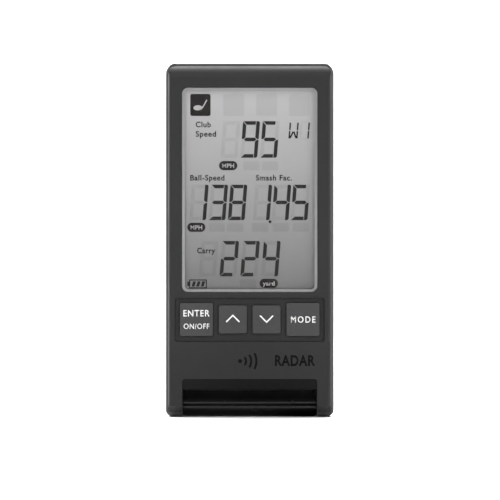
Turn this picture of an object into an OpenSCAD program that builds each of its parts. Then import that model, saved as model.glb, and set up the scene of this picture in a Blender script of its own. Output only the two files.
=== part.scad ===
// Pocket radar speed meter: an upright hand-sized case with a segment display,
// four keys, a patch radar behind the lower face, four AAA cells and a fold-out leg.
// X runs across, Y from the display (-Y) to the back (+Y), Z up. The origin is the
// middle of the footprint, so the case stands on Z = 0.

/* [Case] */
// Width of the case
body_w = 68; // [67.6:0.1:70]
// Height of the case
body_h = 143; // [142.6:0.1:146]
// Wall thickness of both shells
wall = 2; // [1.8:0.1:2.1]
// How far the front shell sits inside the outline of the rear shell
rim = 1.1; // [0.9:0.1:1.3]
// Corner radius of the rear shell, upper corners
corner_top = 4.4; // [3.8:0.1:5]
// Corner radius of the rear shell, lower corners
corner_low = 3.2; // [2.8:0.1:3.6]
// Radius of the bend from the front face into the top
brow_r = 6.5; // [5.5:0.1:6.8]
// Radius of the front shell's side edges
edge_r = 1.5; // [1:0.1:1.6]

/* [Display] */
// Width of the window in the front shell
window_w = 54.8; // [54:0.1:55]
// Height of the window in the front shell
window_h = 82.6; // [82:0.1:83]
// Height of the window's lower edge above the base
window_z = 50.4; // [50.2:0.1:50.6]
// Width of the ledge that the window is bonded to
ledge_w = 1.2; // [1:0.1:1.3]

/* [Keys] */
// Width of the square keys at both ends of the row
key_big = 13.3; // [12.8:0.1:13.4]
// Width of the two arrow keys
key_small = 11.3; // [10.8:0.1:11.5]
// Distance from the middle to the centre of an arrow key
key_near = 6.8; // [6.7:0.1:6.9]
// Distance from the middle to the centre of an end key
key_far = 21.5; // [21.4:0.1:21.6]
// Height of the key row's centre above the base
key_z = 39.5; // [39.3:0.1:39.6]
// Gap round each key
key_gap = 0.15; // [0.1:0.05:0.2]
// Travel of a key
key_travel = 0.5; // [0.3:0.05:0.5]

/* [Stand] */
// Width of the notch that the leg is hinged in
notch_w = 54.4; // [54:0.1:54.8]
// Height of the notch's upper edge at the front
notch_h = 15.5; // [15.2:0.1:15.8]
// Diameter of the leg's hinge barrel
barrel_d = 7.7; // [7.3:0.1:7.7]
// Diameter of the hinge pin
pin_d = 3; // [2.5:0.1:3.2]
// Height of the leg's free end above the base, folded
leg_top = 60; // [56:0.5:61]

/* [Battery] */
// Diameter of a cell
cell_d = 10.5; // [10.3:0.1:10.6]
// Length of a cell with its contact
cell_l = 44.5; // [43.5:0.1:44.8]
// Distance between neighbouring cells
cell_pitch = 11; // [10.8:0.1:11.1]
// Height of the cover's lower edge above the base
cover_z = 67.6; // [67:0.1:68]
// Height of the battery cover
cover_h = 57.8; // [57.4:0.1:58]

/* [Hidden] */
$fn = 64;
fit = 0.1;                      // gap round a panel that sits in an opening
y_face = -13;                   // front face
y_split = -8;                   // parting plane of the two shells
y_back = 13;                    // back face
split_z = 2;                    // lower edge of the front shell at the parting plane
chin_z = 4.6;                   // lower edge of the front face
front_w = body_w - 2 * rim;
front_top = body_h - rim;
back_edge_r = 3;                // rounding of the rear shell's side edges
back_top_r = 4.5;               // rounding of the rear shell's top edge

window_top = window_z + window_h;
window_mid = window_z + window_h / 2;
y_lens = -12.8;                 // outer face of the window
lens_t = 1.4;
y_tape = y_lens + lens_t;       // front of the adhesive frame
tape_t = 0.2;
y_ledge = y_tape + tape_t;
y_lcd = -10;                    // front of the display stack
film_t = 0.2;
glass_t = 1.8;
lcd_w = 56;
lcd_h = 84;
y_glass = y_lcd + film_t;
y_glass_back = y_glass + glass_t;
frame_wall = 1.3;

y_board = -6.3;                 // front of the main board
board_t = 1.6;
y_board_back = y_board + board_t;
board_top = 135.2;
board_low = 17.5;

panel_w = 60.4;                 // recessed key panel
panel_z0 = 30.5;
panel_z1 = 48.2;
y_panel = -12.2;
y_panel_back = -10.2;
panel_lip = 0.5;
y_flange = y_panel_back + 0.05; // front of the flange under each key
flange_t = 0.8;
flange_w = 0.6;
y_stem = y_flange + flange_t;
stem_l = 0.5;
y_plunger = y_stem + stem_l;
plunger_d = 3.4;
plunger_l = 1.55;
switch_w = 6;
switch_h = 2;

hinge_y = y_back - barrel_d / 2;
hinge_z = barrel_d / 2;
seat_gap = 0.5;
lip_t = 1;                      // thickness of the hinge cover
scoop_y = 5.5;                  // where the notch's roof ends
scoop_z = 10.4;
lip_y = -11.8;
lip_z = 11.2;
apron_y = 4.15;                 // front of the hinge cover's apron
apron_z = 5.3;                  // lower end of the apron
bead_z = 6.8;                   // upper edge of the bead along the apron's end
apron_gap = 0.3;                // room behind the apron
recess_y = 9.8;                 // bottom of the leg's recess
recess_w = 54.8;
recess_top = 62;
barrel_w = notch_w - 1.6;
washer_t = (notch_w - barrel_w) / 2 - 0.02;
washer_d = barrel_d - 0.1;
leg_t = 2.7;
leg_y = 10.1;
leg_w = 53.8;
pin_l = notch_w + 7.6;
boss_r = 3;

bay_w = 4 * cell_pitch + 0.6;   // inside of the battery bay
bay_z0 = 70.5;
bay_h = 52;
bay_y = 0;
bay_wall = 1.5;
plate_t = 0.3;
cell_y = bay_y + cell_d / 2 + 0.3;
cover_w = 50;
cover_t = 1.6;
cover_axis_y = y_back - cover_t / 2;
cover_axis_z = cover_z + cover_t / 2;
trunnion_d = 1.1;

cover_play = 0.3;               // side play of the cover in its opening
cover_rim = 1.5;                // frame round the cover's opening
trunnion_l = 1.1;               // how far a trunnion stands out of the cover
latch_w = 9.8;
latch_h = 6.7;                  // length of the latch tongue
tab_w = 8;
ridge_pitch = 1.8;              // ridges for the thumb
lead_d = 1.3;
lead_x = 1.5 * cell_pitch;
lead_y = 3;
lead_z = 62;                    // where a lead bends towards the board

radar_w = 46;
radar_z0 = 17.9;
radar_z1 = 29.1;
y_radar = -10.2;
radar_t = 0.8;
y_radar_back = y_radar + radar_t;
shield_x = -8;
shield_w = 20;
shield_t = 0.3;
patch_w = 4.2;
patch_h = 3.2;
patch_t = 0.1;
patch_pitch = 7;
patch_row = 2.9;                // distance of a row of patches from the feed line
feed_w = 0.4;
dip_r = 120;                    // shallow dip in the face in front of the radar
dip_deep = 0.3;
dip_z = 24.6;

// keys from left to right: enter, up, down, mode
key_x = [-key_far, -key_near, key_near, key_far];
key_w = [key_big, key_small, key_small, key_big];

spring_turns = 4;
spring_steps = 12;
spring_sides = 6;
spring_wire = 0.35;
spring_r = 3.6;                 // radius of the first turn
spring_taper = 1.6;             // how much smaller the last turn is
spring_free = bay_h - 2 * plate_t - cell_l - 2 * spring_wire;

pad_x = 17.5;                   // rubber pads on the leg
pad_w = 11;
pad_z = 47.5;
pad_h = 5;
pocket_w = 7.6;                 // lightening pockets in the leg
pocket_pitch = 9.4;
finger_d = 14;
foot_x = 30.6;                  // rubber pads under the feet
foot_w = 3.6;
foot_l = 10;
foot_t = 0.8;

screw_x = [-25, 25, -30.1, 30.1];
screw_z = [137.4, 137.4, 23.4, 23.4];
screw_seat = -4.3;              // where a case screw's head bears
screw_d = 2;
screw_head_d = 3.4;
screw_head_t = 1.3;
pillar_d = 4.4;                 // screw pillars of the front shell
tower_d = 5.6;                  // screw towers of the rear shell
tower_room_d = 6.4;             // notch in the board and the frame round a tower
lug_x = [-10, 10, -13.65, 13.65];
lug_z = [136.2, 136.2, 48.5, 48.5];
lug_screw_d = 1.5;
lug_head_d = 2.8;
lug_head_t = 0.9;

// ---- helpers -------------------------------------------------------------

// Extrudes an outline drawn in X and Z between two depths.
module along_y(y0, y1) {
    translate([0, y1, 0]) rotate([90, 0, 0]) linear_extrude(y1 - y0) children();
}

// Extrudes a profile drawn in Y and Z across a width centred on X = 0.
module across(w) {
    translate([-w / 2, 0, 0]) rotate([90, 0, 90]) linear_extrude(w) children();
}

// A bar along X through a point in Y and Z.
module bar_x(d, l, y, z, x = 0) {
    translate([x - l / 2, y, z]) rotate([0, 90, 0]) cylinder(d = d, h = l);
}

// A pin along Y from one depth to another.
module pin_y(d, y0, y1, x, z) {
    translate([x, y1, z]) rotate([90, 0, 0]) cylinder(d = d, h = y1 - y0);
}

// A box given by its centre in X, its depth range and its height range.
module slab(w, y0, y1, z0, z1, x = 0) {
    translate([x - w / 2, y0, z0]) cube([w, y1 - y0, z1 - z0]);
}

// A rectangle standing on the X axis with its two upper corners rounded.
module arch(w, h, r) {
    translate([-w / 2, 0]) square([w, h - r]);
    translate([-w / 2 + r, 0]) square([w - 2 * r, h]);
    for (side = [-1, 1]) translate([side * (w / 2 - r), h - r]) circle(r);
}

// A rectangle between two heights, with one radius above and another below.
module round_rect(w, z0, z1, r_top, r_low) {
    mid = (z0 + z1) / 2;
    translate([0, mid]) arch(w, z1 - mid, r_top);
    translate([0, mid]) mirror([0, 1]) arch(w, mid - z0, r_low);
}

module round_panel(w, z0, z1, r, y0, y1, x = 0) {
    translate([x, 0, 0]) along_y(y0, y1) round_rect(w, z0, z1, r, r);
}

// ---- shells --------------------------------------------------------------

// Side profile of the front shell: the brow's arc above, the chin's slope below.
module front_profile(inset) {
    brow_y = y_face + brow_r;
    brow_z = front_top - sqrt(pow(brow_r, 2) - pow(y_split - brow_y, 2));
    intersection() {
        union() {
            translate([y_face + inset, 0]) square([5 - inset, brow_z]);
            translate([brow_y, brow_z]) circle(brow_r - inset);
        }
        polygon([
            [y_face, chin_z + inset], [y_split, split_z + inset],
            [y_split, body_h], [y_face, body_h]
        ]);
    }
}

module front_form(inset) {
    w = front_w - 2 * inset;
    intersection() {
        along_y(y_face, y_split) round_rect(w, split_z - 1 + inset, front_top - inset,
            corner_top - rim - inset / 2, corner_low - rim + 0.4 - inset / 2);
        across(body_w) front_profile(inset);
        linear_extrude(body_h) translate([0, y_split]) mirror([0, 1])
            arch(w, y_split - y_face - inset, max(edge_r - inset, 0.2));
    }
}

// Side profile of the rear shell: the chin's slope, a round heel, a rounded back.
module rear_profile(inset) {
    slope = (chin_z - split_z) / (y_split - y_face);
    heel_r = barrel_d / 2 - inset;
    top = body_h - inset;
    top_r = back_top_r - inset;
    difference() {
        union() {
            translate([y_split, inset]) square([hinge_y - y_split, top - inset]);
            translate([hinge_y, hinge_z]) circle(heel_r);
            translate([hinge_y, hinge_z]) square([heel_r, top - top_r - hinge_z]);
            translate([y_back - back_top_r, top - top_r]) circle(top_r);
            translate([y_split, top - top_r - 1])
                square([y_back - back_top_r - y_split, top_r + 1]);
        }
        polygon([
            [y_split - 1, split_z + slope + inset], [y_split - 1, inset - 3],
            [y_split + split_z / slope, inset - 3], [y_split + split_z / slope, inset]
        ]);
    }
}

module rear_form(inset) {
    w = body_w - 2 * inset;
    intersection() {
        along_y(y_split, y_back) round_rect(w, inset, body_h - inset,
            corner_top - inset, corner_low - inset);
        across(body_w) rear_profile(inset);
        linear_extrude(body_h) translate([0, y_split])
            arch(w, y_back - y_split - inset, back_edge_r - inset / 2);
    }
}

// The room that the leg takes: the notch through the foot and the recess up the
// back. grow thickens it, for the wall that the shells keep round it.
module leg_room(grow) {
    intersection() {
        across(notch_w + 2 * grow) {
            polygon([
                [y_face - 1, -1], [y_face - 1, notch_h + grow],
                [y_face + lip_t, notch_h + grow], [lip_y + 0.8, lip_z + lip_t + grow],
                [scoop_y, scoop_z + lip_t + grow], [scoop_y + grow, scoop_z - 1 + grow],
                [scoop_y + grow, -1]
            ]);
            translate([hinge_y, hinge_z]) circle(barrel_d / 2 + seat_gap + grow);
            translate([scoop_y, -1]) square([y_back - scoop_y + 1, hinge_z + 1]);
        }
        along_y(y_face - 1, y_back + 1)
            round_rect(notch_w + 2 * grow, -8, notch_h + grow, 1.2, 1.2);
    }
    along_y(recess_y - grow, y_back + 1)
        round_rect(recess_w + 2 * grow, -8, recess_top + grow, 2 + grow, 1);
}

module front_case() color("#3b3b3c") difference() {
    union() {
        difference() {
            front_form(0);
            difference() {
                translate([0, 0.01, 0]) front_form(wall);
                leg_room(1.6);
            }
        }
        slab(window_w + 4, y_ledge, y_lcd - 0.1, window_z - 1.4, window_top + 1.8);
        intersection() {
            for (i = [0:3]) pin_y(pillar_d, y_face + 1, y_split, screw_x[i], screw_z[i]);
            front_form(0.2);
        }
    }
    leg_room(0);
    round_panel(window_w, window_z, window_top, 2.5, y_face - 1, y_ledge);
    round_panel(window_w - 2 * ledge_w, window_z + ledge_w, window_top - ledge_w,
        1.6, y_face - 1, y_split);
    round_panel(panel_w, panel_z0, panel_z1, 1, y_face - 1, y_split - 2.5);
    for (i = [0:3]) pin_y(screw_d + 0.04, y_split - 2.8, y_split + 1, screw_x[i], screw_z[i]);
    bar_x(2 * dip_r, body_w + 12, y_face - dip_r + dip_deep, dip_z, $fn = 400);
}

module rear_case() color("#343435") difference() {
    union() {
        difference() {
            rear_form(0);
            difference() {
                translate([0, -0.01, 0]) rear_form(wall);
                leg_room(1.6);
            }
        }
        // battery bay and the frame that the cover sits in
        slab(bay_w + 2 * bay_wall, bay_y - bay_wall, y_back - 1,
            bay_z0 - bay_wall, bay_z0 + bay_h + bay_wall);
        slab(cover_w + 2 * cover_rim, y_back - 3.6, y_back - 1,
            cover_z - cover_rim, cover_z + cover_h + cover_rim);
        intersection() {
            for (i = [0:3]) pin_y(tower_d, y_split, y_back, screw_x[i], screw_z[i]);
            rear_form(0.2);
        }
        for (side = [-1, 1]) intersection() {
            bar_x(2 * boss_r, 5, hinge_y, hinge_z, side * (notch_w / 2 + 2.5));
            rear_form(0.2);
        }
    }
    leg_room(0);
    slab(bay_w, bay_y, y_back + 1, bay_z0, bay_z0 + bay_h);
    slab(cover_w, y_back - cover_t, y_back + 1, cover_z - fit, cover_z + cover_h);
    bar_x(trunnion_d + 0.1, cover_w + 2 * trunnion_l + 0.2, cover_axis_y, cover_axis_z);
    // pocket for the tab of the cover's latch
    slab(tab_w + 0.4, y_back - 1.3, y_back - 0.5, cover_z + cover_h - 1, cover_z + cover_h + 0.9);
    for (i = [0:3]) {
        pin_y(screw_head_d + 0.4, screw_seat, y_back + 1, screw_x[i], screw_z[i]);
        pin_y(screw_d + 0.2, y_split - 1, y_back, screw_x[i], screw_z[i]);
    }
    bar_x(pin_d, pin_l, hinge_y, hinge_z);
    // lead holes in the bay's lower wall
    for (side = [-1, 1]) translate([side * lead_x, lead_y, bay_z0 - bay_wall - 1])
        cylinder(d = lead_d + 0.3, h = bay_wall + 2);
    for (side = [-1, 1]) foot_pad(side);
}

// ---- display -------------------------------------------------------------

module display_window() color("#b9bcbb", 0.5)
    round_panel(window_w - 2 * fit, window_z + fit, window_top - fit, 2.4, y_lens, y_tape);

module window_gasket() color("#8f9190") difference() {
    round_panel(window_w - 2 * fit, window_z + fit, window_top - fit, 2.4, y_tape, y_ledge);
    round_panel(window_w - 2 * ledge_w, window_z + ledge_w, window_top - ledge_w,
        1.6, y_tape - 1, y_ledge + 1);
}

module lcd_sheet(w, h, y0, y1) {
    slab(w, y0, y1, window_mid - h / 2, window_mid + h / 2);
}

module lcd_polariser() color("#a9abaa") lcd_sheet(lcd_w - 1.4, lcd_h - 1.4, y_lcd, y_glass);

module lcd_glass() color("#b4bcb8") lcd_sheet(lcd_w, lcd_h, y_glass, y_glass_back);

module lcd_reflector() color("#c8c8c4")
    lcd_sheet(lcd_w - 2, lcd_h - 10, y_glass_back, y_glass_back + film_t);

module lcd_frame() color("#e4e2dc") difference() {
    union() {
        lcd_sheet(lcd_w + 2 * frame_wall + 0.2, lcd_h + 2 * frame_wall + 0.2,
            y_glass, y_board);
        for (i = [0:3]) pin_y(3.2, y_glass, y_board, lug_x[i], lug_z[i]);
    }
    lcd_sheet(lcd_w + 0.2, lcd_h + 0.2, y_glass - 1, y_glass_back + film_t);
    lcd_sheet(lcd_w - 8, lcd_h - 14, y_glass, y_board + 1);
    for (i = [0:1]) pin_y(tower_room_d, y_glass - 1, y_board + 1, screw_x[i], screw_z[i]);
    for (side = [-1, 1]) zebra_slot(side, 0.1);
    for (i = [0:3]) pin_y(lug_screw_d + 0.04, y_glass + 0.6, y_board + 1, lug_x[i], lug_z[i]);
}

module zebra_slot(side, gap) {
    z = window_mid + side * (lcd_h / 2 - 2.7);
    slab(lcd_w - 6 + 2 * gap, y_glass_back - (gap > 0 ? 1 : 0),
        y_board + (gap > 0 ? 1 : 0), z - 1.1 - gap, z + 1.1 + gap);
}

module zebra_strips() color("#5a5f66") for (side = [-1, 1]) zebra_slot(side, 0);

// ---- main board ----------------------------------------------------------

module main_board() color("#1f5a36") difference() {
    union() {
        slab(60, y_board, y_board_back, 29, board_top);
        slab(51, y_board, y_board_back, board_low, 29.5);
        for (i = [0:1]) pin_y(4.2, y_board, y_board_back, lug_x[i], lug_z[i]);
    }
    for (i = [0:3]) pin_y(lug_screw_d + 0.2, y_board - 1, y_board_back + 1, lug_x[i], lug_z[i]);
    for (i = [0:1]) pin_y(tower_room_d, y_board - 1, y_board_back + 1, screw_x[i], screw_z[i]);
}

// A flat chip with a row of legs on two or four sides.
module chip(x, z, w, h, t, legs, four) {
    pitch = (h - 1) / legs;
    slab(w, y_board_back + 0.1, y_board_back + t, z - h / 2, z + h / 2, x);
    for (i = [0:legs - 1], side = [-1, 1]) {
        step = (i - (legs - 1) / 2) * pitch;
        slab(1.2, y_board_back, y_board_back + 0.5,
            z + step - pitch / 4, z + step + pitch / 4, x + side * (w / 2 + 0.4));
        if (four)
            slab(pitch / 2, y_board_back, y_board_back + 0.5,
                z + side * (h / 2 + 0.4) - 0.6, z + side * (h / 2 + 0.4) + 0.6, x + step);
    }
}

module processor_chip() color("#1c1c1e") chip(-9, 56, 10, 10, 1.5, 12, true);

module support_chips() color("#202022") {
    chip(10, 58, 5, 6.2, 1.4, 4, false);
    chip(-10, 36, 5, 6.2, 1.4, 4, false);
    chip(6, 24, 5, 6.2, 1.4, 4, false);
}

module crystal() color("#c9c9c6")
    round_panel(5, 64.6, 67.8, 0.5, y_board_back, y_board_back + 1.1, -9);

module capacitors() color("#3a4a63") for (spot = [[22, 34], [22, 42], [13, 42]])
    pin_y(5, y_board_back, y_board_back + 7, spot[0], spot[1]);

module inductor() color("#4a4038") difference() {
    pin_y(7, y_board_back, y_board_back + 4, -22, 42);
    difference() {
        pin_y(9, y_board_back + 0.8, y_board_back + 3.2, -22, 42);
        pin_y(5.4, y_board_back, y_board_back + 4, -22, 42);
    }
}

// ---- keys ----------------------------------------------------------------

module key_hole(i, gap, y0, y1, r = 0.7) {
    w = key_w[i] + 2 * gap;
    round_panel(w, key_z - w / 2, key_z + w / 2, r, y0, y1, key_x[i]);
}

module key_bezel() color("#333334") difference() {
    union() {
        round_panel(panel_w - 2 * fit, panel_z0 + fit, panel_z1 - fit, 0.9,
            y_panel, y_panel_back - 0.5);
        slab(panel_w + 2 * panel_lip, y_face + wall, y_panel_back,
            panel_z0 - panel_lip, panel_z1 + panel_lip);
    }
    for (i = [0:3]) key_hole(i, key_gap, y_panel - 1, y_panel_back + 1);
}

module key(i) color("#545456") {
    key_hole(i, 0, y_face, y_stem - 0.2);
    key_hole(i, flange_w, y_flange, y_stem, 1);
    pin_y(plunger_d, y_stem - 0.2, y_plunger, key_x[i], key_z);
}

module key_enter() key(0);
module key_up() key(1);
module key_down() key(2);
module key_mode() key(3);

module switch_cases() color("#26262a") for (i = [0:3]) difference() {
    slab(switch_w, y_board - switch_h, y_board,
        key_z - switch_w / 2, key_z + switch_w / 2, key_x[i]);
    pin_y(plunger_d + 0.2, y_board - switch_h - 1, y_plunger + plunger_l + key_travel + 0.1,
        key_x[i], key_z);
}

module plunger(i) color("#d8d4c8")
    pin_y(plunger_d, y_plunger, y_plunger + plunger_l, key_x[i], key_z);

module plunger_enter() plunger(0);
module plunger_up() plunger(1);
module plunger_down() plunger(2);
module plunger_mode() plunger(3);

// ---- radar ---------------------------------------------------------------

module radar_board() color("#2a6b46")
    slab(radar_w, y_radar, y_radar_back, radar_z0, radar_z1);

// Two rows of six copper patches and the feed line between the rows.
module antenna_patches() color("#c98a4b") {
    y0 = y_radar - patch_t;
    mid = (radar_z0 + radar_z1) / 2;
    for (column = [0:5], row = [-1, 1]) {
        x = (column - 2.5) * patch_pitch;
        z = mid + row * patch_row;
        slab(patch_w, y0, y_radar, z - patch_h / 2, z + patch_h / 2, x);
        slab(feed_w, y0, y_radar, min(z, mid), max(z, mid), x);
    }
    slab(5 * patch_pitch + feed_w, y0, y_radar, mid - feed_w / 2, mid + feed_w / 2);
}

module radar_shield() color("#b9bcc0") difference() {
    slab(shield_w, y_radar_back, y_radar_back + 2.4,
        radar_z0 + 0.8, radar_z1 - 0.8, shield_x);
    slab(shield_w - 2 * shield_t, y_radar_back - 1, y_radar_back + 2.4 - shield_t,
        radar_z0 + 0.8 + shield_t, radar_z1 - 0.8 - shield_t, shield_x);
}

module radar_chip() color("#232326")
    slab(5, y_radar_back, y_radar_back + 0.9, 21, 26, shield_x);

module radar_connector() color("#e8e6df")
    slab(12, y_radar_back, y_board, 21.8, 25.2, 13);

// ---- battery -------------------------------------------------------------

// Cells alternate: an even index has its raised contact upwards.
module cell(i) {
    x = (i - 1.5) * cell_pitch;
    up = i % 2 == 0;
    z = up ? bay_z0 + bay_h - plate_t : bay_z0 + plate_t;
    color("#b8683a") translate([x, cell_y, z]) mirror([0, 0, up ? 1 : 0]) {
        cylinder(d = 3.8, h = 2);
        translate([0, 0, 0.8]) cylinder(d = cell_d, h = cell_l - 0.8);
    }
}

module cell_1() cell(0);
module cell_2() cell(1);
module cell_3() cell(2);
module cell_4() cell(3);

// Conical coil from the bay's end plate to the cell, as one swept round wire.
function coil_point(k, up) = let (
    t = k / (spring_turns * spring_steps),
    r = spring_r - spring_taper * t,
    rise = spring_wire + spring_free * t
) [
    r * cos(360 * k / spring_steps),
    r * sin(360 * k / spring_steps),
    up ? rise : -rise
];

function ring(k, up) = let (
    c = coil_point(k, up),
    out = [cos(360 * k / spring_steps), sin(360 * k / spring_steps), 0]
) [
    for (s = [0:spring_sides - 1]) let (a = 360 * s / spring_sides)
        c + spring_wire * (cos(a) * out + [0, 0, sin(a)])
];

module coil_spring(up) {
    last = spring_turns * spring_steps;
    points = [for (k = [0:last]) each ring(k, up)];
    n = spring_sides;
    side = [
        for (k = [0:last - 1], s = [0:n - 1]) let (e = (s + 1) % n)
            [k * n + s, k * n + e, k * n + n + e, k * n + n + s]
    ];
    first_cap = [for (s = [0:n - 1]) n - 1 - s];
    last_cap = [for (s = [0:n - 1]) last * n + s];
    polyhedron(points, concat(side, [first_cap], [last_cap]));
}

module battery_springs() color("#cfd2d4") for (i = [0:3]) {
    up = i % 2 == 0;
    z = up ? bay_z0 + plate_t : bay_z0 + bay_h - plate_t;
    translate([(i - 1.5) * cell_pitch, cell_y, z]) coil_spring(up);
}

// Sprung plates at both ends of the bay; the upper and lower pairs join the cells.
module contact_plates() color("#d3d4d0") {
    z_top = bay_z0 + bay_h;
    for (side = [-1, 1])
        slab(2 * cell_pitch - 1.6, bay_y + 0.4, bay_y + 10, z_top - plate_t, z_top,
            side * cell_pitch);
    slab(2 * cell_pitch - 1.6, bay_y + 0.4, bay_y + 10, bay_z0, bay_z0 + plate_t);
    for (side = [-1, 1])
        slab(cell_pitch - 1.6, bay_y + 0.4, bay_y + 10, bay_z0, bay_z0 + plate_t,
            side * 1.5 * cell_pitch);
}

// Two insulated leads from the bay's lower plates down and round to the board.
module battery_leads() color("#a32d2a") for (side = [-1, 1])
    translate([side * lead_x, lead_y, 0]) {
        translate([0, 0, lead_z]) cylinder(d = lead_d, h = bay_z0 - lead_z);
        translate([0, -lead_y, lead_z]) rotate([0, 90, 0])
            rotate_extrude(angle = 90) translate([lead_y, 0]) circle(d = lead_d);
        translate([0, y_board_back - lead_y, lead_z - lead_y]) rotate([-90, 0, 0])
            cylinder(d = lead_d, h = -y_board_back);
    }

module battery_cover() color("#333334") difference() {
    union() {
        across(cover_w - cover_play) {
            translate([cover_axis_y, cover_axis_z]) circle(d = cover_t);
            translate([y_back - cover_t, cover_axis_z])
                square([cover_t, cover_h - cover_t / 2 - fit]);
        }
        bar_x(trunnion_d, cover_w - cover_play + 2 * trunnion_l, cover_axis_y, cover_axis_z);
    }
    // opening for the latch tongue and ridges for the thumb
    slab(latch_w + 0.2, y_back - 3, y_back + 1,
        cover_z + cover_h - latch_h - 0.3, cover_z + cover_h + 1);
    for (i = [0:4])
        bar_x(1, 16, y_back + 0.2, cover_z + cover_h - 17 + ridge_pitch * i);
}

module cover_latch() color("#3a3a3b") {
    top = cover_z + cover_h;
    slab(latch_w, y_back - 1.5, y_back - 0.2, top - latch_h - 0.3, top - 0.3);
    slab(tab_w, y_back - 1.2, y_back - 0.6, top - 1, top + 0.6);
}

module cover_foam() color("#5b5b60")
    slab(40, y_back - cover_t - 0.4, y_back - cover_t, 94, 104);

// ---- stand ---------------------------------------------------------------

module stand_leg() color("#18181a") difference() {
    union() {
        bar_x(barrel_d, barrel_w, hinge_y, hinge_z);
        intersection() {
            along_y(leg_y, leg_y + leg_t) round_rect(leg_w, -8, leg_top, 2.5, 1);
            translate([-leg_w / 2, 0, hinge_z]) cube([leg_w, 20, leg_top]);
        }
    }
    // side relief where the plate passes the barrel's ends
    for (side = [-1, 1])
        slab(3, 0, 20, -1, hinge_z + barrel_d / 2 + 1.2, side * (barrel_w / 2 + 1.5));
    bar_x(pin_d + 0.1, barrel_w + 2, hinge_y, hinge_z);
    // lightening pockets between the ribs on the inner face
    for (column = [-2:2])
        round_panel(pocket_w, 13, leg_top - 7, 1, leg_y - 1, leg_y + 1, column * pocket_pitch);
    // finger notch at the free end
    translate([0, leg_y + leg_t / 2, leg_top + 3]) rotate([90, 0, 0])
        cylinder(d = finger_d, h = 10, center = true);
    for (side = [-1, 1]) leg_pad(side);
}

module leg_pad(side) {
    round_panel(pad_w, pad_z, pad_z + pad_h, 1, leg_y + leg_t - 0.7, y_back, side * pad_x);
}

module leg_pads() color("#222224") for (side = [-1, 1]) leg_pad(side);

module stand_pin() color("#c4c7ca") bar_x(pin_d, pin_l - 0.2, hinge_y, hinge_z);

module friction_washers() color("#d9d6cc") for (side = [-1, 1]) difference() {
    x = side * (notch_w + barrel_w) / 4;
    bar_x(washer_d, washer_t, hinge_y, hinge_z, x);
    bar_x(pin_d + 0.1, washer_t + 1, hinge_y, hinge_z, x);
}

// Slanted lip, roof over the notch, and an apron with a bead that hides the gap
// above the barrel.
module hinge_cover() color("#202021") intersection() {
    back_y = scoop_y - apron_gap;
    root_y = apron_y + 0.2;
    root_z = lip_z + (scoop_z - lip_z) * (root_y - lip_y) / (scoop_y - lip_y);
    across(notch_w - 2 * fit) polygon([
        [y_face + 0.05, notch_h], [y_face + lip_t, notch_h],
        [lip_y + 0.8, lip_z + lip_t], [back_y, scoop_z + lip_t],
        [back_y, apron_z], [apron_y + 0.15, apron_z], [apron_y, bead_z],
        [root_y, root_z], [lip_y, lip_z]
    ]);
    along_y(y_face - 1, y_back)
        round_rect(notch_w - 2 * fit, -8, notch_h - 0.05, 1.1, 1);
}

// ---- fasteners and feet ---------------------------------------------------

module case_screws() color("#8d9094") for (i = [0:3]) difference() {
    union() {
        pin_y(screw_head_d, screw_seat, screw_seat + screw_head_t, screw_x[i], screw_z[i]);
        pin_y(screw_d, y_split - 2.6, screw_seat + 0.5, screw_x[i], screw_z[i]);
    }
    cross_slot(screw_x[i], screw_z[i], screw_seat + screw_head_t, 2, 0.8);
}

module board_screws() color("#9a9da0") for (i = [0:3]) difference() {
    union() {
        pin_y(lug_head_d, y_board_back, y_board_back + lug_head_t, lug_x[i], lug_z[i]);
        pin_y(lug_screw_d, y_board - 2.6, y_board_back + 0.4, lug_x[i], lug_z[i]);
    }
    cross_slot(lug_x[i], lug_z[i], y_board_back + lug_head_t, 1.6, 0.5);
}

module cross_slot(x, z, y, w, deep) {
    slab(w, y - deep, y + 1, z - w / 8, z + w / 8, x);
    slab(w / 4, y - deep, y + 1, z - w / 2, z + w / 2, x);
}

module foot_pad(side) {
    translate([side * foot_x, -3.5, 0]) linear_extrude(foot_t)
        arch(foot_w, foot_l, foot_w / 2 - 0.1);
}

module foot_pads() color("#1d1d1f") for (side = [-1, 1]) foot_pad(side);

front_case();
rear_case();
display_window();
window_gasket();
lcd_polariser();
lcd_glass();
lcd_reflector();
lcd_frame();
zebra_strips();
main_board();
processor_chip();
support_chips();
crystal();
capacitors();
inductor();
key_bezel();
key_enter();
key_up();
key_down();
key_mode();
switch_cases();
plunger_enter();
plunger_up();
plunger_down();
plunger_mode();
radar_board();
antenna_patches();
radar_shield();
radar_chip();
radar_connector();
cell_1();
cell_2();
cell_3();
cell_4();
battery_springs();
contact_plates();
battery_leads();
battery_cover();
cover_latch();
cover_foam();
stand_leg();
stand_pin();
leg_pads();
friction_washers();
hinge_cover();
case_screws();
board_screws();
foot_pads();
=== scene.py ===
"""Looks of the pocket radar speed meter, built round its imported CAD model."""
import math

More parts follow.
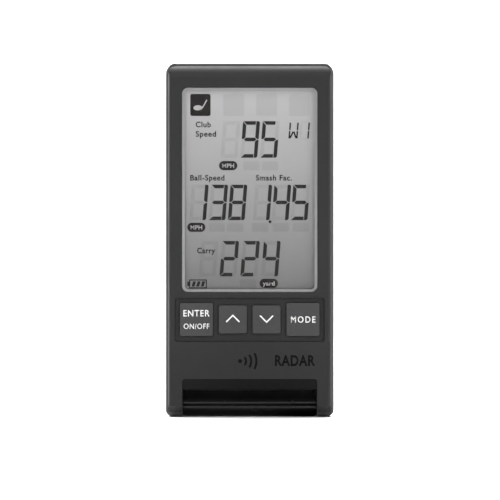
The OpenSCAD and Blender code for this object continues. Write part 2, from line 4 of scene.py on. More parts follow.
import bmesh
import bpy
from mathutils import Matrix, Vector


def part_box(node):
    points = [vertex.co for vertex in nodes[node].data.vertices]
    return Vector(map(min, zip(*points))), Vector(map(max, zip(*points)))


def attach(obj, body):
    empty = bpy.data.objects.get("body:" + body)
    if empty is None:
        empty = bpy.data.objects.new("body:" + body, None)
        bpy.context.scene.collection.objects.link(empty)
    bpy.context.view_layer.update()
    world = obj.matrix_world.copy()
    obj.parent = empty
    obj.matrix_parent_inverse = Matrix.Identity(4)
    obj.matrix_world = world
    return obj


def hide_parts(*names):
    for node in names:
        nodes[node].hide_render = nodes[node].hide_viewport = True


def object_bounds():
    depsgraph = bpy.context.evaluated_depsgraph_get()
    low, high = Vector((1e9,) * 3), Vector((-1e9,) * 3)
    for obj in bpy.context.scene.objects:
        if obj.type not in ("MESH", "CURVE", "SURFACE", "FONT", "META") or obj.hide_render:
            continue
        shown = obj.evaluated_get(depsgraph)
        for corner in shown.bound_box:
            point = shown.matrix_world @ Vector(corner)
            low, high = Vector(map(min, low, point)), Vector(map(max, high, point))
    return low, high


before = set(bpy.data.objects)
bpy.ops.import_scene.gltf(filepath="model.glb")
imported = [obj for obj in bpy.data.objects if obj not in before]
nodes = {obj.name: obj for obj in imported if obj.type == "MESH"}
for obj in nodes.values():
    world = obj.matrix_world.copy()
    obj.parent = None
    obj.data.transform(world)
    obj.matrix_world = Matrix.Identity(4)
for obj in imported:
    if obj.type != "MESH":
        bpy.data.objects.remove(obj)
cad_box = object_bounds()
MM = 0.001
HAIR = 0.02 * MM
scene = bpy.context.scene


# ---- places taken from the frame -------------------------------------------

def corners(node):
    """Lowest and highest corner of a CAD node's box, in metres."""
    low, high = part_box(node)
    return Vector(low), Vector(high)


case_high = Vector(cad_box[1])
front_low, front_high = corners("front_case")
film_low, film_high = corners("lcd_polariser")
FACE_Y = front_low.y


# ---- materials --------------------------------------------------------------

class Finish:
    """A Principled material built up from procedural nodes."""

    def __init__(self, name, color, roughness, metallic=0.0, ior=1.5, specular=0.5):
        self.material = bpy.data.materials.new(name)
        self.material.use_nodes = True
        self.tree = self.material.node_tree
        self.shader = self.tree.nodes["Principled BSDF"]
        self.color = color
        self.roughness = roughness
        self.set("Base Color", (*color, 1))
        self.set("Roughness", roughness)
        self.set("Metallic", metallic)
        self.set("IOR", ior)
        self.set("Specular IOR Level", specular)
        self.coordinates = self.node("ShaderNodeTexCoord").outputs["Object"]

    def set(self, socket, value):
        self.shader.inputs[socket].default_value = value

    def node(self, kind):
        return self.tree.nodes.new(kind)

    def link(self, a, b):
        self.tree.links.new(a, b)

    def noise(self, size, detail=3.0):
        """Noise whose grains are about size metres across."""
        texture = self.node("ShaderNodeTexNoise")
        texture.inputs["Scale"].default_value = 1 / size
        texture.inputs["Detail"].default_value = detail
        self.link(self.coordinates, texture.inputs["Vector"])
        return texture.outputs["Fac"]

    def ramp(self, source, low, high, start=0.3, end=0.7):
        """Maps source from start..end to low..high, for numbers."""
        remap = self.node("ShaderNodeMapRange")
        remap.inputs["From Min"].default_value = start
        remap.inputs["From Max"].default_value = end
        remap.inputs["To Min"].default_value = low
        remap.inputs["To Max"].default_value = high
        self.link(source, remap.inputs["Value"])
        return remap.outputs["Result"]

    def blend(self, source, low, high, start=0.3, end=0.7):
        """Maps source from start..end to a blend of two colours."""
        mix = self.node("ShaderNodeMix")
        mix.data_type = "RGBA"
        mix.inputs[6].default_value = (*low, 1)
        mix.inputs[7].default_value = (*high, 1)
        self.link(self.ramp(source, 0, 1, start, end), mix.inputs[0])
        return mix.outputs[2]

    def mottle(self, amount, size):
        """Slow variation of the colour, as moulding and handling leave it."""
        low = [c * (1 - amount) for c in self.color]
        high = [c * (1 + amount) for c in self.color]
        self.link(self.blend(self.noise(size), low, high), self.shader.inputs["Base Color"])
        return self

    def scuff(self, amount, size):
        """Slow variation of the roughness, as wear leaves it."""
        low = max(self.roughness - amount, 0.02)
        self.link(self.ramp(self.noise(size, 5), low, self.roughness + amount),
                  self.shader.inputs["Roughness"])
        return self

    def grain(self, size, depth):
        """Fine bumps of a moulded, printed or drawn surface."""
        bump = self.node("ShaderNodeBump")
        bump.inputs["Strength"].default_value = 1
        bump.inputs["Distance"].default_value = depth
        self.link(self.noise(size, 2), bump.inputs["Height"])
        self.link(bump.outputs["Normal"], self.shader.inputs["Normal"])
        return self


def moulded(name, level, roughness=0.52, texture=0.35 * MM):
    """Dark ABS with a fine spark-eroded texture. level is its linear grey."""
    color = (level, level, level * 1.02)
    finish = Finish(name, color, roughness, specular=0.14)
    return finish.mottle(0.06, 30 * MM).scuff(0.06, 9 * MM).grain(texture, 0.006 * MM).material


def printed(name, color, roughness=0.5, specular=0.3):
    """Ink or film with an even surface."""
    return Finish(name, color, roughness, specular=specular).mottle(0.03, 2 * MM).material


def metal(name, color, roughness):
    finish = Finish(name, color, roughness, metallic=1)
    return finish.mottle(0.05, 3 * MM).scuff(0.08, 2 * MM).grain(0.4 * MM, 0.002 * MM).material


def paint(node, material):
    """Gives a CAD node one material."""
    mesh = nodes[node].data
    mesh.materials.clear()
    mesh.materials.append(material)


front_plastic = moulded("front_plastic", 0.0230)
# The rear shell's plastic is painted lighter than the front shell's so that its rim shows
# brighter: painted light.
rear_plastic = Finish("rear_plastic", (0.042, 0.042, 0.0425), 0.5).mottle(
    0.06, 30 * MM).scuff(0.05, 9 * MM).grain(0.35 * MM, 0.006 * MM).material
panel_plastic = moulded("panel_plastic", 0.021, 0.55)
key_plastic = moulded("key_plastic", 0.050, 0.45, 0.25 * MM)
# Near-black trim for the hinge notch. Its black is partly the black plastic of the stand's
# hinge and partly painted shade, standing in for the shade inside the notch.
trim_plastic = Finish("trim_plastic", (0.004, 0.004, 0.0045), 0.2, specular=0.1).scuff(
    0.05, 6 * MM).grain(1.5 * MM, 0.003 * MM).material
leg_plastic = Finish("leg_plastic", (0.004, 0.004, 0.0045), 0.24, specular=0.6).scuff(
    0.04, 5 * MM).grain(2.0 * MM, 0.003 * MM).material
rubber = Finish("pad_rubber", (0.012, 0.012, 0.013), 0.8).mottle(
    0.15, 1 * MM).grain(0.2 * MM, 0.02 * MM).material
legend_ink = printed("legend_ink", (0.78, 0.78, 0.77))
emblem_ink = printed("emblem_ink", (0.004, 0.004, 0.0043), 0.5, 0.05)


def clear_plastic(name, color, face_on, edge_on):
    """Clear sheet that lets the eye through and shows gloss towards grazing angles."""
    finish = Finish(name, color, 0.05, ior=1.49)
    weight = finish.node("ShaderNodeLayerWeight")
    weight.inputs["Blend"].default_value = 0.35
    alpha = finish.ramp(weight.outputs["Fresnel"], face_on, edge_on, 0.0, 1.0)
    finish.link(alpha, finish.shader.inputs["Alpha"])
    return finish.material


def display_film(name, dark, light):
    """Silvery film whose colour is painted lighter towards the top of the display and darker
    towards the bottom: painted light and shade, standing in for how the lamps fall on it.
    """
    finish = Finish(name, light, 0.55, specular=0.3)
    split = finish.node("ShaderNodeSeparateXYZ")
    finish.link(finish.coordinates, split.inputs[0])
    # Painted light: the film's colour ramps from dark at its bottom to light at its top.
    painted_light_fall = finish.blend(split.outputs["Z"], dark, light, film_low.z, film_high.z)
    finish.link(painted_light_fall, finish.shader.inputs["Base Color"])
    return finish.grain(0.12 * MM, 0.002 * MM).material


window_clear = clear_plastic("window_clear", (0.02, 0.021, 0.021), 0.02, 0.6)
ghost_ink = clear_plastic("ghost_ink", (0.05, 0.05, 0.05), 0.022, 0.022)
# The display film's upper part is painted lighter than its lower part: painted light.
film = display_film("display_film", (0.275, 0.274, 0.275), (0.75, 0.743, 0.746))
# Grey tape seen through the window as a border round the display. It stands in for that
# border, which is shade from the window's recess: painted shade. Its grey is also raised to
# offset the shadow the recess casts on it: painted light.
tape_grey = printed("tape_grey", (0.66, 0.655, 0.66))
segment_ink = printed("segment_ink", (0.034, 0.032, 0.030), 0.5, 0.2)
label_ink = printed("label_ink", (0.022, 0.021, 0.020), 0.5, 0.2)
reversed_ink = printed("reversed_ink", (0.72, 0.715, 0.71))


# ---- thin printed shapes ----------------------------------------------------

def new_piece(name, mesh, material, body):
    """A visual piece that rides on a body of the frame."""
    piece = bpy.data.objects.new(name, mesh)
    scene.collection.objects.link(piece)
    mesh.materials.clear()
    mesh.materials.append(material)
    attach(piece, body)
    return piece


def print_shapes(name, outlines, y, material, body):
    """Flat shapes with their front at y. An outline is a list of (x, z) in mm."""
    mesh = bpy.data.meshes.new(name)
    build = bmesh.new()
    for outline in outlines:
        front = [build.verts.new((x * MM, y, z * MM)) for x, z in outline]
        back = [build.verts.new((x * MM, y + HAIR, z * MM)) for x, z in outline]
        count = len(outline)
        build.faces.new(front)
        build.faces.new(back[::-1])
        for i in range(count):
            j = (i + 1) % count
            build.faces.new((front[j], front[i], back[i], back[j]))
    bmesh.ops.recalc_face_normals(build, faces=build.faces)
    build.to_mesh(mesh)
    build.free()
    return new_piece(name, mesh, material, body)


def capsule(x0, z0, x1, z1, radius):
    """Outline of a rounded rectangle."""
    steps, points = 8, []
    for cx, cz, start in ((x1 - radius, z1 - radius, 0), (x0 + radius, z1 - radius, 90),
                          (x0 + radius, z0 + radius, 180), (x1 - radius, z0 + radius, 270)):
        for i in range(steps + 1):
            angle = math.radians(start + 90 * i / steps)
            points.append((cx + radius * math.cos(angle), cz + radius * math.sin(angle)))
    return points


SHARPEST_MITRE = 0.3


def stroke(points, width):
    """Outline of a mitred line of even width through the points."""
    left, right = [], []
    for i, point in enumerate(points):
        here = Vector(point)
        before = (here - Vector(points[i - 1])).normalized() if i > 0 else None
        after = None
        if i < len(points) - 1:
            after = (Vector(points[i + 1]) - here).normalized()
        first, second = before or after, after or before
        normal = Vector((-first.y - second.y, first.x + second.x)).normalized()
        reach = width / 2 / max(normal.dot(Vector((-first.y, first.x))), SHARPEST_MITRE)
        left.append(tuple(here + normal * reach))
        right.append(tuple(here - normal * reach))
    return left + right[::-1]


def arc_stroke(cx, cz, radius, start, end, width):
    """Outline of an arc of even width. Angles in degrees."""
    steps, points = 16, []
    for i in range(steps + 1):
        angle = math.radians(start + (end - start) * i / steps)
        points.append((cx + radius * math.cos(angle), cz + radius * math.sin(angle)))
    return stroke(points, width)


def text_mesh(words, bold, spacing):
    """The words as a flat mesh in the typeface's own units."""
    curve = bpy.data.curves.new("words", "FONT")
    curve.body = words
    curve.offset = bold
    curve.space_character = spacing
    curve.resolution_u = 4
    holder = bpy.data.objects.new("words", curve)
    scene.collection.objects.link(holder)
    mesh = holder.to_mesh()
    copy = mesh.copy()
    holder.to_mesh_clear()
    bpy.data.objects.remove(holder)
    return copy


cap_mesh = text_mesh("H", 0, 1)
CAP = max(v.co.y for v in cap_mesh.vertices)


def lettering(name, words, x0, x1, base, cap, y, material, body, bold, spacing):
    """Words from x0 to x1 in mm, standing on base, with capitals cap mm high."""
    flat = text_mesh(words, bold, spacing)
    low = min(v.co.x for v in flat.vertices)
    high = max(v.co.x for v in flat.vertices)
    wide = (x1 - x0) / (high - low)
    tall = cap / CAP
    build = bmesh.new()
    build.from_mesh(flat)
    for vert in build.verts:
        across, up = vert.co.x - low, vert.co.y
        vert.co = ((x0 + across * wide) * MM, y, (base + up * tall) * MM)
    bmesh.ops.remove_doubles(build, verts=build.verts, dist=0.0005 * MM)
    mesh = bpy.data.meshes.new(name)
    bmesh.ops.recalc_face_normals(build, faces=build.faces)
    for face in build.faces:
        if face.normal.y > 0:
            face.normal_flip()
    grown = bmesh.ops.extrude_face_region(build, geom=list(build.faces))
    for vert in grown["geom"]:
        if isinstance(vert, bmesh.types.BMVert):
            vert.co.y -= HAIR
    bmesh.ops.recalc_face_normals(build, faces=build.faces)
    build.to_mesh(mesh)
    build.free()
    return new_piece(name, mesh, material, body)


# ---- segment display ----------------------------------------------------------

SLANT = math.tan(math.radians(4.5))
SHOWN_SEGMENTS = {"1": "bc", "2": "abged", "3": "abgcd", "4": "fgbc", "5": "afgcd",
                  "8": "abcdefg", "9": "abcdfg"}
BAR = 1.45  # width of a digit's segment, in mm
GAP = 0.16  # half the slit between two segments


def digit(left, base, width, height, segments):
    """Outlines of the named segments of one slanted digit. left is its lowest corner."""
    bar, gap = BAR, GAP
    middle = height / 2
    inner = width - bar
    soft = bar * 0.35
    upright = {
        "a": [(gap, height), (inner - gap, height), (inner - 1.5 * gap, height - bar),
              (bar + gap, height - bar)],
        "b": [(inner, height), (width - soft, height), (width, height - soft),
              (width, middle + gap), (width - bar / 2, middle + gap),
              (inner, middle + bar / 2 + gap)],
        "f": [(0, height - gap), (0, middle + gap), (bar / 2, middle + gap),
              (bar, middle + bar / 2 + gap), (bar, height - bar - gap)],
        "g": [(bar / 2 + gap, middle), (bar + gap, middle + bar / 2),
              (inner - gap, middle + bar / 2), (width - bar / 2 - gap, middle),
              (inner - gap, middle - bar / 2), (bar + gap, middle - bar / 2)],
    }
    for upper, lower in (("a", "d"), ("b", "c"), ("f", "e")):
        upright[lower] = [(x, height - z) for x, z in upright[upper]]
    return [[(left + x + SLANT * z, base + z) for x, z in upright[s]] for s in segments]


# left edge, base, digit width, digit height, pitch, what it shows
ROWS = [
    (-11.75, 104.75, 6.85, 14.75, 7.93, " 95"),
    (-24.45, 79.55, 6.8, 14.3, 7.8, "138"),
    (1.2, 79.55, 6.8, 14.3, 7.65, "145"),
    (-20.6, 56.85, 6.8, 14.3, 8.4, " 224"),
]
INK_Y = film_low.y - 2 * HAIR
lit, unlit = [], []
for left, base, width, height, pitch, shown in ROWS:
    for place, sign in enumerate(shown):
        on = SHOWN_SEGMENTS.get(sign, "")
        spot = (left + place * pitch, base, width, height)
        lit += digit(*spot, on)
        unlit += digit(*spot, [s for s in "abcdefg" if s not in on])
POINT_X, POINT_Z, POINT_R = 8.2, 78.9, 0.75  # decimal point, set on its corner
lit.append([(POINT_X - POINT_R, POINT_Z), (POINT_X, POINT_Z + POINT_R),
            (POINT_X + POINT_R, POINT_Z), (POINT_X, POINT_Z - POINT_R)])
SMALL_BAR = 0.62


def small_letter(left, base, width, height, paths):
    """Outlines of a small slanted letter. Its paths run from 0 to 1 both ways."""
    shapes = []
    for path in paths:
        shapes.append(stroke([(left + x * width + SLANT * z * height, base + z * height)
                              for x, z in path], SMALL_BAR))
    return shapes


# the two sides of a letter are split strokes; W has two slanted feet between them
LETTER_W = [[(0, 0.03), (0, 0.48)], [(0, 0.53), (0, 0.97)], [(1, 0.03), (1, 0.48)],
            [(1, 0.53), (1, 0.97)], [(0.12, 0.06), (0.46, 0.44)], [(0.88, 0.06), (0.54, 0.44)]]
LETTER_1 = [[(1, 0.03), (1, 0.48)], [(1, 0.53), (1, 0.97)]]
SMALL = (112.3, 3.1, 6.8)  # base, width, height
lit += small_letter(15.9, *SMALL, LETTER_W)
lit += small_letter(20.4, *SMALL, LETTER_1)
UNLIT_STROKES = [[(0, 0.03), (0, 0.48)], [(0, 0.53), (0, 0.97)], [(0.1, 1), (0.9, 1)],
                 [(0.1, 0), (0.9, 0)]]
unlit += small_letter(20.4, *SMALL, UNLIT_STROKES)


def ellipse(cx, cz, rx, rz, turn=0.0):
    steps, points = 28, []
    for i in range(steps):
        angle = 2 * math.pi * i / steps
        x, z = rx * math.cos(angle), rz * math.sin(angle)
        points.append((cx + x * math.cos(turn) - z * math.sin(turn),
                       cz + x * math.sin(turn) + z * math.cos(turn)))
    return points


ICON = (-24.0, 121.6, -15.8, 130.5)
ICON_CORNER, UNLIT_ICON_W = 0.8, 8.4
lit.append(capsule(*ICON, ICON_CORNER))
for left in (-10.7, 2.6, 15.9):
    unlit.append(capsule(left, ICON[1], left + UNLIT_ICON_W, ICON[3], ICON_CORNER))
CELL_W, CELL_H, CELL_CORNER = 6.6, 3.5, 0.5
# low edge and left edges of the unlit unit cells
UNLIT_CELLS = [(99.7, (-2.6, 5.0)), (74.9, (-16.6, -9.2, 1.0, 9.2, 17.4)), (52.2, (-3.9,))]
for low, starts in UNLIT_CELLS:
    for left in starts:
        unlit.append(capsule(left, low, left + CELL_W, low + CELL_H, CELL_CORNER))
# left, low, right and high edge of each dark unit label, and its words
PILLS = [(-12.4, 99.7, -5.0, 103.4, "MPH"), (-25.2, 74.8, -17.9, 78.5, "MPH"),
         (4.0, 52.2, 11.4, 55.9, "yard")]
for x0, z0, x1, z1, words in PILLS:
    lit.append(capsule(x0, z0, x1, z1, (z1 - z0) / 2 - 0.01))

# battery gauge: an outline with its nub on the left and three slanted bars
gx0, gz0, gx1, gz1 = -24.4, 52.0, -17.3, 55.6
WALL, NUB_W, NUB_IN = 0.42, 0.75, 0.9
CHARGE_X, CHARGE_PITCH, CHARGE_W, CHARGE_LEAN, CHARGE_IN = 0.95, 1.85, 1.15, 0.6, 0.75


def block(x0, z0, x1, z1):
    """Outline of a plain rectangle."""
    return [(x0, z0), (x1, z0), (x1, z1), (x0, z1)]


lit.append(block(gx0, gz0, gx1, gz0 + WALL))
lit.append(block(gx0, gz1 - WALL, gx1, gz1))
lit.append(block(gx0, gz0 + WALL, gx0 + WALL, gz1 - WALL))
lit.append(block(gx1 - WALL, gz0 + WALL, gx1, gz1 - WALL))
lit.append(block(gx0 - NUB_W, gz0 + NUB_IN, gx0, gz1 - NUB_IN))
for i in range(3):
    left = gx0 + CHARGE_X + i * CHARGE_PITCH
    foot, head = gz0 + CHARGE_IN, gz1 - CHARGE_IN
    lit.append([(left, foot), (left + CHARGE_W, foot), (left + CHARGE_W + CHARGE_LEAN, head),
                (left + CHARGE_LEAN, head)])

print_shapes("display_segments", lit, INK_Y, segment_ink, "case")
print_shapes("display_ghosts", unlit, INK_Y, ghost_ink, "case")

OVER_Y = INK_Y - 0.5 * HAIR
# a golf club: its head and its shaft
club = [ellipse(-20.95, 124.9, 1.8, 1.05, 0.05),
        stroke([(-20.3, 124.1), (-19.4, 124.5), (-18.5, 125.9), (-17.3, 128.1)], 0.45)]
print_shapes("display_icon", club, OVER_Y - HAIR, reversed_ink, "case")
UNIT_IN, UNIT_BASE, UNIT_CAP, LABEL_CAP, DISPLAY_BOLD = 1.3, 1.0, 1.65, 2.15, 0.02
for i, (x0, z0, x1, z1, words) in enumerate(PILLS):
    lettering(f"display_unit_{i}", words, x0 + UNIT_IN, x1 - UNIT_IN, z0 + UNIT_BASE,
              UNIT_CAP, OVER_Y, reversed_ink, "case", DISPLAY_BOLD, 1.05)
# words, left edge, right edge, base
LABELS = [("Club", -21.8, -15.7, 117.1), ("Speed", -21.8, -13.6, 113.3),
          ("Ball-Speed", -24.0, -10.2, 95.6), ("Smash Fac.", 2.5, 17.0, 95.6),
          ("Carry", -21.2, -14.0, 66.2)]
for i, (words, x0, x1, base) in enumerate(LABELS):
    lettering(f"display_label_{i}", words, x0, x1, base, LABEL_CAP, INK_Y, label_ink,
              "case", DISPLAY_BOLD, 1.1)


# ---- case shells ---------------------------------------------------------------

CUT_LEVELS = (6, 20)  # heights in mm where long faces are split, for even shading
EDGE_ANGLE = 28       # a shell's edge is rounded when its faces turn by more than this
LEAST_FREE = 1        # a rounding of this radius or more isn't held back by short edges


def rounded_copy(node, name, material, rounds):
    """A copy of a CAD shell with clean faces and rounded edges, in place of it.

    rounds lists (test on the edge's middle in mm, radius in mm, segments)."""
    build = bmesh.new()
    build.from_mesh(nodes[node].data)
    bmesh.ops.remove_doubles(build, verts=build.verts, dist=0.002 * MM)
    bmesh.ops.dissolve_limit(build, angle_limit=math.radians(0.6), verts=build.verts,
                             edges=build.edges, delimit=set())
    for level in CUT_LEVELS:
        bmesh.ops.bisect_plane(build, geom=build.verts[:] + build.edges[:] + build.faces[:],
                               dist=0.001 * MM, plane_co=(0, 0, level * MM),
                               plane_no=(0, 0, 1))
    for test, radius, segments in rounds:
        chosen = []
        for edge in build.edges:
            turn = edge.calc_face_angle(0)
            if len(edge.link_faces) == 2 and turn > math.radians(EDGE_ANGLE):
                middle = (edge.verts[0].co + edge.verts[1].co) / 2 / MM
                if test(middle.x, middle.y, middle.z):
                    chosen.append(edge)
        bmesh.ops.bevel(build, geom=chosen, offset=radius * MM, offset_type="OFFSET",
                        segments=segments, profile=0.5, affect="EDGES",
                        clamp_overlap=radius < LEAST_FREE, loop_slide=True)
    mesh = bpy.data.meshes.new(name)
    build.to_mesh(mesh)
    build.free()
    piece = new_piece(name, mesh, material, "case")
    smooth(piece)
    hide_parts(node)


def smooth(piece):
    """Smooth shading that stays sharp at edges of more than 24 degrees."""
    for face in piece.data.polygons:
        face.use_smooth = True
    piece.data.set_sharp_from_angle(angle=math.radians(24))
    weight = piece.modifiers.new("even normals", "WEIGHTED_NORMAL")
    weight.keep_sharp = True
    weight.weight = 100


split = front_high.y / MM
half = case_high.x / MM
top = case_high.z / MM
RIM_R, FRONT_R, REAR_R = 1.05, 0.22, 0.18
CORNER_R, CORNER_CUT = 4.5, 1.4  # room for the round upper corners: height and width
RIM_END_Z = 2.1  # the rim's rounding ends here, where the foot's slope begins
END_W, END_DEEP, END_H = 1.8, 1.5, 5  # the space round each lower end of that rounding
NEAR = 0.1  # an edge this close to a face counts as lying in it


def on_rim(x, y, z):
    """The rear shell's front edge, round the outside."""
    corner = abs(x) > half - CORNER_CUT and z > top - CORNER_R
    skin = abs(x) > half - NEAR or z > top - NEAR or corner
    return abs(y - split) < NEAR / 2 and skin and z > RIM_END_Z


def anywhere(x, y, z):
    return True


def off_rim_ends(x, y, z):
    """Every edge but those beside the ends of the rim's rounding."""
    return not (abs(x) > half - END_W and y < split + END_DEEP and z < END_H)


rounded_copy("front_case", "front_shell", front_plastic, [(anywhere, FRONT_R, 2)])
rounded_copy("rear_case", "rear_shell", rear_plastic,
             [(on_rim, RIM_R, 5), (off_rim_ends, REAR_R, 2)])


# ---- other CAD nodes: edges and finishes ----------------------------------------

def ease(node, radius, segments=2):
    """Rounds a CAD node's edges with modifiers."""
    piece = nodes[node]
    clean = piece.modifiers.new("clean", "DECIMATE")
    clean.decimate_type = "DISSOLVE"
    clean.angle_limit = math.radians(0.5)
    bevel = piece.modifiers.new("ease", "BEVEL")
    bevel.width = radius * MM
    bevel.segments = segments
    bevel.limit_method = "ANGLE"
    bevel.angle_limit = math.radians(35)
    for face in piece.data.polygons:
        face.use_smooth = True
    even = piece.modifiers.new("even normals", "WEIGHTED_NORMAL")
    even.keep_sharp = True


steel = metal("steel", (0.55, 0.56, 0.57), 0.32)
solder_tin = metal("tin", (0.66, 0.66, 0.64), 0.3)
gold = metal("gold_flash", (0.78, 0.52, 0.24), 0.28)
board_green = Finish("board_green", (0.012, 0.11, 0.04), 0.35).mottle(
    0.2, 1.2 * MM).grain(0.5 * MM, 0.004 * MM).material
epoxy = Finish("epoxy", (0.012, 0.012, 0.013), 0.5).grain(0.15 * MM, 0.004 * MM).material
white_abs = Finish("white_plastic", (0.68, 0.67, 0.62), 0.45).mottle(0.03, 6 * MM).material
silicone = Finish("silicone", (0.05, 0.055, 0.065), 0.6).mottle(0.1, 1 * MM).material
jacket = Finish("cell_jacket", (0.42, 0.13, 0.03), 0.3).mottle(0.04, 5 * MM).material
jacket_dark = Finish("cell_jacket_dark", (0.02, 0.02, 0.022), 0.3).mottle(
    0.05, 5 * MM).material
wire_red = Finish("wire_red", (0.38, 0.02, 0.015), 0.45).mottle(0.05, 3 * MM).material
sleeve = Finish("capacitor_sleeve", (0.02, 0.045, 0.11), 0.35).mottle(0.05, 2 * MM).material
ferrite = Finish("ferrite", (0.03, 0.028, 0.026), 0.7).grain(0.2 * MM, 0.01 * MM).material
foam = Finish("foam", (0.06, 0.06, 0.065), 0.95).grain(0.35 * MM, 0.06 * MM).material
nylon = Finish("nylon", (0.62, 0.60, 0.54), 0.4).mottle(0.04, 2 * MM).material
reflector = metal("reflector_film", (0.72, 0.72, 0.70), 0.4)
glass_edge = Finish("display_glass", (0.30, 0.35, 0.33), 0.08).mottle(0.03, 20 * MM).material

FINISHES = {
    "display_window": window_clear, "window_gasket": tape_grey, "lcd_polariser": film,
    "lcd_glass": glass_edge, "lcd_reflector": reflector, "lcd_frame": white_abs,
    "zebra_strips": silicone, "main_board": board_green, "processor_chip": epoxy,
    "support_chips": epoxy, "crystal": solder_tin, "capacitors": sleeve,
    "inductor": ferrite, "key_bezel": panel_plastic, "key_enter": key_plastic,
    "key_up": key_plastic, "key_down": key_plastic, "key_mode": key_plastic,
    "switch_cases": epoxy, "plunger_enter": nylon, "plunger_up": nylon,
    "plunger_down": nylon, "plunger_mode": nylon, "radar_board": board_green,
    "antenna_patches": gold, "radar_shield": solder_tin, "radar_chip": epoxy,
    "radar_connector": white_abs, "cell_1": jacket, "cell_2": jacket, "cell_3": jacket,
    "cell_4": jacket, "battery_springs": steel, "contact_plates": steel,
    "battery_leads": wire_red, "battery_cover": rear_plastic, "cover_latch": rear_plastic,
    "cover_foam": foam, "stand_leg": leg_plastic, "stand_pin": steel,
    "leg_pads": rubber, "friction_washers": leg_plastic, "hinge_cover": trim_plastic,
    "case_screws": steel, "board_screws": steel, "foot_pads": rubber,
}
for node, material in FINISHES.items():
    paint(node, material)
for node in ("key_enter", "key_up", "key_down", "key_mode"):
    ease(node, 0.32, 4)
for node, radius in (("key_bezel", 0.12), ("battery_cover", 0.2), ("cover_latch", 0.15),
                     ("stand_leg", 0.3), ("hinge_cover", 0.12), ("leg_pads", 0.15),
                     ("lcd_frame", 0.1), ("radar_shield", 0.15)):
    ease(node, radius)

# A hairline gap between the window and its tape, so the tape shows cleanly.
gap = nodes["window_gasket"].modifiers.new("gap", "DISPLACE")
gap.direction, gap.mid_level, gap.strength = "Y", 0, HAIR


# ---- key legends and emblem -------------------------------------------------------

LEGEND_Y = FACE_Y - 0.01 * MM
lettering("legend_enter", "ENTER", -26.75, -16.15, 40.75, 2.5, LEGEND_Y, legend_ink,
          "enter_key", 0.012, 1.12)
lettering("legend_on_off", "ON/OFF", -26.6, -16.3, 35.7, 2.1, LEGEND_Y, legend_ink,
          "enter_key", 0.006, 1.12)
lettering("legend_mode", "MODE", 16.6, 26.5, 38.25, 2.45, LEGEND_Y, legend_ink,
          "mode_key", 0.012, 1.3)
CHEVRON_W, CHEVRON_HALF = 0.5, 2.65
for name, body, x, ends, apex in (("legend_up", "up_key", -6.8, 38.5, 41.15),
                                  ("legend_down", "down_key", 6.8, 41.05, 38.4)):
    path = [(x - CHEVRON_HALF, ends), (x, apex), (x + CHEVRON_HALF, ends)]
    print_shapes(name, [stroke(path, CHEVRON_W)], LEGEND_Y - HAIR, legend_ink, body)

# middle height and radius of the dip, and how far its axis stands in front of the face
DIP_Z, DIP_R, DIP_SINK = 24.6, 120.0, 119.7


def lay_in_dip(piece):
    """Follows the shallow dip across the lower face."""
    for vert in piece.data.vertices:
        rise = vert.co.z / MM - DIP_Z
        vert.co.y += max(math.sqrt(DIP_R ** 2 - rise ** 2) - DIP_SINK, 0) * MM


EMBLEM = (-3.9, 22.7)
DOT_R, WAVE_W = 0.8, 0.8
waves = [ellipse(*EMBLEM, DOT_R, DOT_R)]
for radius, half_angle in ((2.4, 42), (4.5, 34), (6.6, 29)):
    waves.append(arc_stroke(*EMBLEM, radius, -half_angle, half_angle, WAVE_W))
lay_in_dip(print_shapes("emblem_waves", waves, LEGEND_Y - HAIR, emblem_ink, "case"))
lay_in_dip(lettering("emblem_word", "RADAR", 10.2, 26.4, 20.9, 4.0, LEGEND_Y, emblem_ink,
                     "case", 0.03, 1.1))


# ---- bars beside the hinge ---------------------------------------------------------

def bar_along_x(name, profile, low, high):
    """A black bar with the given outline in Y and Z, from low to high in X, in mm."""
    mesh = bpy.data.meshes.new(name)
    build = bmesh.new()
    ends = [[build.verts.new((x * MM, y * MM, z * MM)) for y, z in profile]
            for x in (low, high)]
    count = len(profile)
    for i in range(count):
        j = (i + 1) % count
        build.faces.new((ends[0][i], ends[0][j], ends[1][j], ends[1][i]))
    build.faces.new(ends[0][::-1])
    build.faces.new(ends[1])
    bmesh.ops.recalc_face_normals(build, faces=build.faces)
    build.to_mesh(mesh)
    build.free()
    smooth(new_piece(name, mesh, leg_plastic, "case"))


# Round bead along the lip of the hinge cover's apron: its front is an arc.
BEAD_R, BEAD_Y, BEAD_Z = 1.95, 3.95, 5.72
BEAD_BACK, BEAD_LOW, BEAD_HIGH = 4.75, 4.85, 6.4
bead = [(BEAD_BACK, BEAD_LOW)]
for degrees in range(-26, 21, 3):
    angle = math.radians(degrees)
    bead.append((BEAD_Y + BEAD_R * (1 - math.cos(angle)), BEAD_Z + BEAD_R * math.sin(angle)))
bead.append((BEAD_BACK, BEAD_HIGH))
apron_low, apron_high = corners("hinge_cover")
bar_along_x("apron_bead", bead, apron_low.x / MM, apron_high.x / MM)

# Thin packing that closes the slits beside the friction washers.
washer_low, washer_high = corners("friction_washers")
PACKING_IN, PACKING_OUT = 0.9, 0.1  # how far it reaches from the washer's outer face
washer = (washer_low + washer_high) / 2 / MM
washer_r = (washer_high.z - washer_low.z) / 2 / MM
disc = [(washer.y + washer_r * math.cos(math.radians(a)),
         washer.z + washer_r * math.sin(math.radians(a))) for a in range(0, 360, 6)]
for side in (-1, 1):
    edge = side * washer_high.x / MM
    bar_along_x("washer_packing", disc, *sorted((edge - side * PACKING_IN,
                                                 edge + side * PACKING_OUT)))


# ---- battery cells: a dark band round each ------------------------------------------

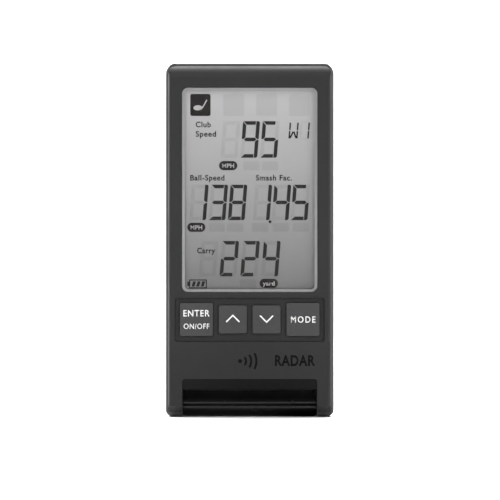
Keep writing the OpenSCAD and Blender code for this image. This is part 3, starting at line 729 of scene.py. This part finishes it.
def cell_band(name, x, y, z0, z1, radius):
    """A round band with eased ends, standing along Z. Sizes in metres."""
    sides = 48
    mesh = bpy.data.meshes.new(name)
    build = bmesh.new()
    ease_r = min(0.15 * MM, (z1 - z0) / 3)
    profile = [(radius - ease_r, z0), (radius, z0 + ease_r), (radius, z1 - ease_r),
               (radius - ease_r, z1)]
    rings = []
    for r, z in profile:
        rings.append([build.verts.new((x + r * math.cos(2 * math.pi * i / sides),
                                       y + r * math.sin(2 * math.pi * i / sides), z))
                      for i in range(sides)])
    for lower, upper in zip(rings, rings[1:]):
        for i in range(sides):
            j = (i + 1) % sides
            build.faces.new((lower[i], lower[j], upper[j], upper[i]))
    build.faces.new(rings[0][::-1])
    build.faces.new(rings[-1])
    for face in build.faces:
        face.smooth = len(face.verts) == 4
    build.to_mesh(mesh)
    build.free()
    new_piece(name, mesh, jacket_dark, "case")


# The band runs between these depths below the end with the contact nub.
NUB_H, BAND_START, BAND_END, BAND_OUT = 0.8 * MM, 1.2 * MM, 11 * MM, 0.03 * MM
for i in range(4):
    low, high = corners(f"cell_{i + 1}")
    middle = (low + high) / 2
    radius = (high.x - low.x) / 2
    away = -1 if i % 2 == 0 else 1
    crown = (high.z if away < 0 else low.z) + away * NUB_H
    band = sorted((crown + away * BAND_START, crown + away * BAND_END))
    cell_band(f"cell_{i + 1}_band", middle.x, middle.y, *band, radius + BAND_OUT)


# ---- stage, lights, camera ---------------------------------------------------------

def sweep():
    """Pale floor that curves up into a backdrop behind the object."""
    mesh = bpy.data.meshes.new("floor")
    build = bmesh.new()
    bend, front, back, height, half_width, steps = 0.8, -4.0, 3.6, 4.0, 1.6, 24
    profile = [(front, 0.0), (back - bend, 0.0)]
    for i in range(1, steps + 1):
        angle = math.radians(90 * i / steps)
        profile.append((back - bend + bend * math.sin(angle), bend - bend * math.cos(angle)))
    profile.append((back, height))
    sides = [[build.verts.new((x, y, z)) for y, z in profile]
             for x in (-half_width, half_width)]
    for i in range(len(profile) - 1):
        face = build.faces.new((sides[0][i], sides[1][i], sides[1][i + 1], sides[0][i + 1]))
        face.smooth = True
    build.to_mesh(mesh)
    build.free()
    floor = bpy.data.objects.new("floor", mesh)
    scene.collection.objects.link(floor)
    paper = Finish("paper_sweep", (0.80, 0.80, 0.80), 0.9, specular=0.1)
    mesh.materials.append(paper.material)


def area_light(name, place, target, width, height, power):
    """A rectangular lamp at place that faces target. Sizes in metres, power in watts."""
    data = bpy.data.lights.new(name, "AREA")
    data.shape = "RECTANGLE"
    data.size, data.size_y, data.energy = width, height, power
    lamp = bpy.data.objects.new(name, data)
    scene.collection.objects.link(lamp)
    lamp.location = place
    lamp.rotation_euler = (Vector(target) - Vector(place)).to_track_quat("-Z", "Y").to_euler()


sweep()
CENTRE = (0, 0, case_high.z / 2)
area_light("key_light", (-0.5, -0.9, 1.0), CENTRE, 0.7, 0.7, 8)
area_light("fill_light", (0.9, -0.8, 0.5), CENTRE, 0.7, 0.7, 8.5)
area_light("brow_light", (0, -0.55, 1.05), CENTRE, 0.8, 0.3, 2)
area_light("top_light", (0, 0.35, 1.15), CENTRE, 0.9, 0.7, 8.5)
for side, power in ((-1, 21), (1, 7)):
    area_light("rim_light", (side * 0.85, 0.35, 0.35), CENTRE, 0.8, 0.9, power)
area_light("backdrop_light", (0, 1.5, 2.2), (0, 2.9, 0.2), 3.0, 1.2, 260)

# The world is white to the camera, and only a faint light for everything else.
world = bpy.data.worlds.new("studio")
world.use_nodes = True
tree = world.node_tree
background = tree.nodes["Background"]
background.inputs["Color"].default_value = (1, 1, 1, 1)
seen = tree.nodes.new("ShaderNodeLightPath").outputs["Is Camera Ray"]
strength = tree.nodes.new("ShaderNodeMapRange")
strength.inputs["To Min"].default_value = 0.08
strength.inputs["To Max"].default_value = 1.0
tree.links.new(seen, strength.inputs["Value"])
tree.links.new(strength.outputs["Result"], background.inputs["Strength"])
scene.world = world
scene.view_settings.view_transform = "Standard"

DISTANCE = 2.5  # metres from the camera to the face
FRAME_WIDTH = 201.6 * MM  # what the picture's width shows at the face
lens = bpy.data.cameras.new("camera")
lens.sensor_width = 36
lens.lens = lens.sensor_width * DISTANCE / FRAME_WIDTH
lens.clip_start = 0.01
camera = bpy.data.objects.new("camera", lens)
scene.collection.objects.link(camera)
camera.location = (0.12 * MM, FACE_Y - DISTANCE, 67.5 * MM)
camera.rotation_euler = (math.radians(90), 0, 0)
scene.camera = camera
